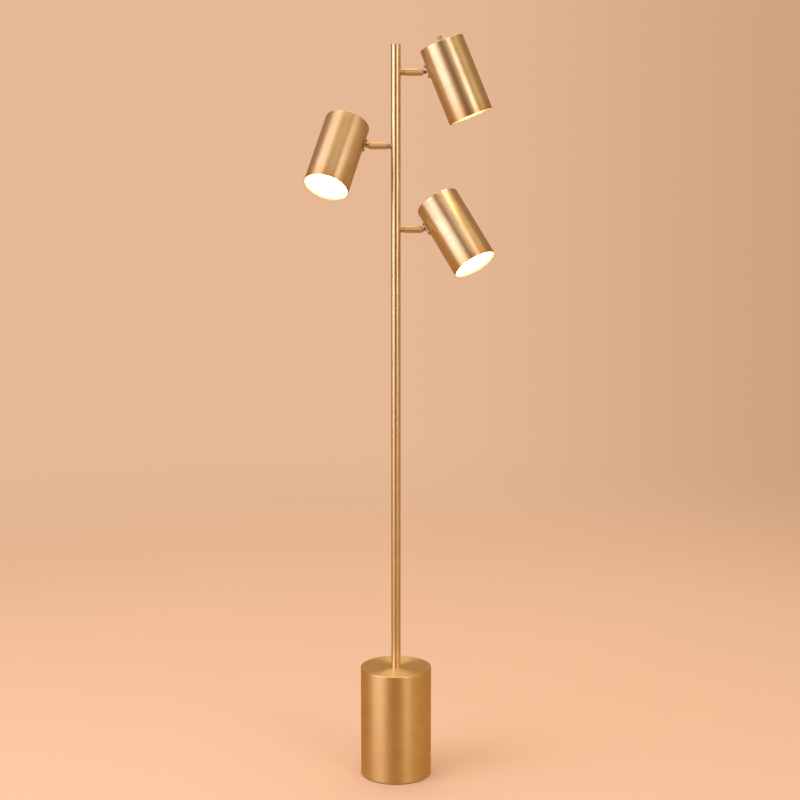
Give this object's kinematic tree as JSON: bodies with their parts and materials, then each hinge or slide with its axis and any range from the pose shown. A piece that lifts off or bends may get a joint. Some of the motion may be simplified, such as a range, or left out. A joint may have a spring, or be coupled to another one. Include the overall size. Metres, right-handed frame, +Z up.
{
  "type": "tree floor lamp",
  "caption": "Tree floor lamp: a weighted drum base, a slim pole and cylindrical spot heads on short swivel arms, each with a tilting knuckle and a turning switch knob.",
  "frame": {"origin": "on the floor at the centre of the drum base, under the pole axis", "axes": "+Z up along the pole, +X to the right of the front view, where two of the heads are, +Y to the back, where the cord inlet is"},
  "size_m": [0.3931, 0.1769, 1.5853],
  "materials": {
    "brushed_brass": "aged brass, brushed round the turned parts, satin lacquer",
    "dark_steel": "blackened screws",
    "zinc_steel": "zinc-plated steel, hidden inside",
    "raw_iron": "rough casting, painted dark",
    "foam_pad": "dense black foam pad under the base",
    "black_plastic": "matt moulded plastic",
    "bulb_cap_metal": "plain screw cap",
    "opal_glass": "opal bulb, lit warm white"
  },
  "bodies": {
    "stand": {"foot_pad": "foam_pad", "base_plate": "zinc_steel", "base_weight": "raw_iron", "base_shell": "brushed_brass", "cord_bushing": "black_plastic", "tie_rod": "zinc_steel", "tie_washer": "zinc_steel", "tie_nut": "zinc_steel", "pole": "brushed_brass", "pole_foot_plug": "zinc_steel", "pole_top_cap": "brushed_brass", "upper_arm_stub": "brushed_brass", "upper_retaining_ring": "zinc_steel", "middle_arm_stub": "brushed_brass", "middle_retaining_ring": "zinc_steel", "lower_arm_stub": "brushed_brass", "lower_retaining_ring": "zinc_steel"},
    "upper_swivel": {"upper_arm_sleeve": "brushed_brass", "upper_knuckle_fork": "brushed_brass", "upper_pivot_screw": "dark_steel"},
    "upper_spot": {"upper_swivel_plate": "brushed_brass", "upper_plate_screws": "dark_steel", "upper_shade": "brushed_brass", "upper_switch_body": "black_plastic", "upper_switch_nut": "brushed_brass", "upper_socket_bracket": "zinc_steel", "upper_lampholder": "black_plastic", "upper_holder_nut": "zinc_steel", "upper_bulb_cap": "bulb_cap_metal", "upper_bulb_globe": "opal_glass"},
    "upper_knob": {"upper_switch_knob": "brushed_brass"},
    "middle_swivel": {"middle_arm_sleeve": "brushed_brass", "middle_knuckle_fork": "brushed_brass", "middle_pivot_screw": "dark_steel"},
    "middle_spot": {"middle_swivel_plate": "brushed_brass", "middle_plate_screws": "dark_steel", "middle_shade": "brushed_brass", "middle_switch_body": "black_plastic", "middle_switch_nut": "brushed_brass", "middle_socket_bracket": "zinc_steel", "middle_lampholder": "black_plastic", "middle_holder_nut": "zinc_steel", "middle_bulb_cap": "bulb_cap_metal", "middle_bulb_globe": "opal_glass"},
    "middle_knob": {"middle_switch_knob": "brushed_brass"},
    "lower_swivel": {"lower_arm_sleeve": "brushed_brass", "lower_knuckle_fork": "brushed_brass", "lower_pivot_screw": "dark_steel"},
    "lower_spot": {"lower_swivel_plate": "brushed_brass", "lower_plate_screws": "dark_steel", "lower_shade": "brushed_brass", "lower_switch_body": "black_plastic", "lower_switch_nut": "brushed_brass", "lower_socket_bracket": "zinc_steel", "lower_lampholder": "black_plastic", "lower_holder_nut": "zinc_steel", "lower_bulb_cap": "bulb_cap_metal", "lower_bulb_globe": "opal_glass"},
    "lower_knob": {"lower_switch_knob": "brushed_brass"}
  },
  "joints": [
    {"name": "upper_roll", "type": "hinge", "parent": "stand", "child": "upper_swivel", "pos_m": [0.0186, 0, 1.5081], "axis": [1, 0, 0], "range_deg": [-163, 177]},
    {"name": "upper_tilt", "type": "hinge", "parent": "upper_swivel", "child": "upper_spot", "pos_m": [0.06, 0, 1.5081], "axis": [0, -0.9925, 0.1219], "range_deg": [-47.2, 22.8]},
    {"name": "upper_switch", "type": "hinge", "parent": "upper_spot", "child": "upper_knob", "pos_m": [0.09312, 0.00727, 1.56729], "axis": [-0.3778, 0.1128, 0.919], "continuous": true},
    {"name": "middle_roll", "type": "hinge", "parent": "stand", "child": "middle_swivel", "pos_m": [-0.0186, 0, 1.3587], "axis": [1, 0, 0], "range_deg": [-133.7, 206.3]},
    {"name": "middle_tilt", "type": "hinge", "parent": "middle_swivel", "child": "middle_spot", "pos_m": [-0.06, 0, 1.3587], "axis": [0, 0.8059, -0.592], "range_deg": [-40, 30]},
    {"name": "middle_switch", "type": "hinge", "parent": "middle_spot", "child": "middle_knob", "pos_m": [-0.10034, 0.03257, 1.40304], "axis": [0.2588, 0.5718, 0.7785], "continuous": true},
    {"name": "lower_roll", "type": "hinge", "parent": "stand", "child": "lower_swivel", "pos_m": [0.0186, 0, 1.1865], "axis": [1, 0, 0], "range_deg": [-141.6, 198.4]},
    {"name": "lower_tilt", "type": "hinge", "parent": "lower_swivel", "child": "lower_spot", "pos_m": [0.06, 0, 1.1865], "axis": [0, -0.8796, 0.4756], "range_deg": [-53.6, 16.4]},
    {"name": "lower_switch", "type": "hinge", "parent": "lower_spot", "child": "lower_knob", "pos_m": [0.08627, 0.02994, 1.24188], "axis": [-0.4787, 0.4176, 0.7723], "continuous": true}
  ]
}
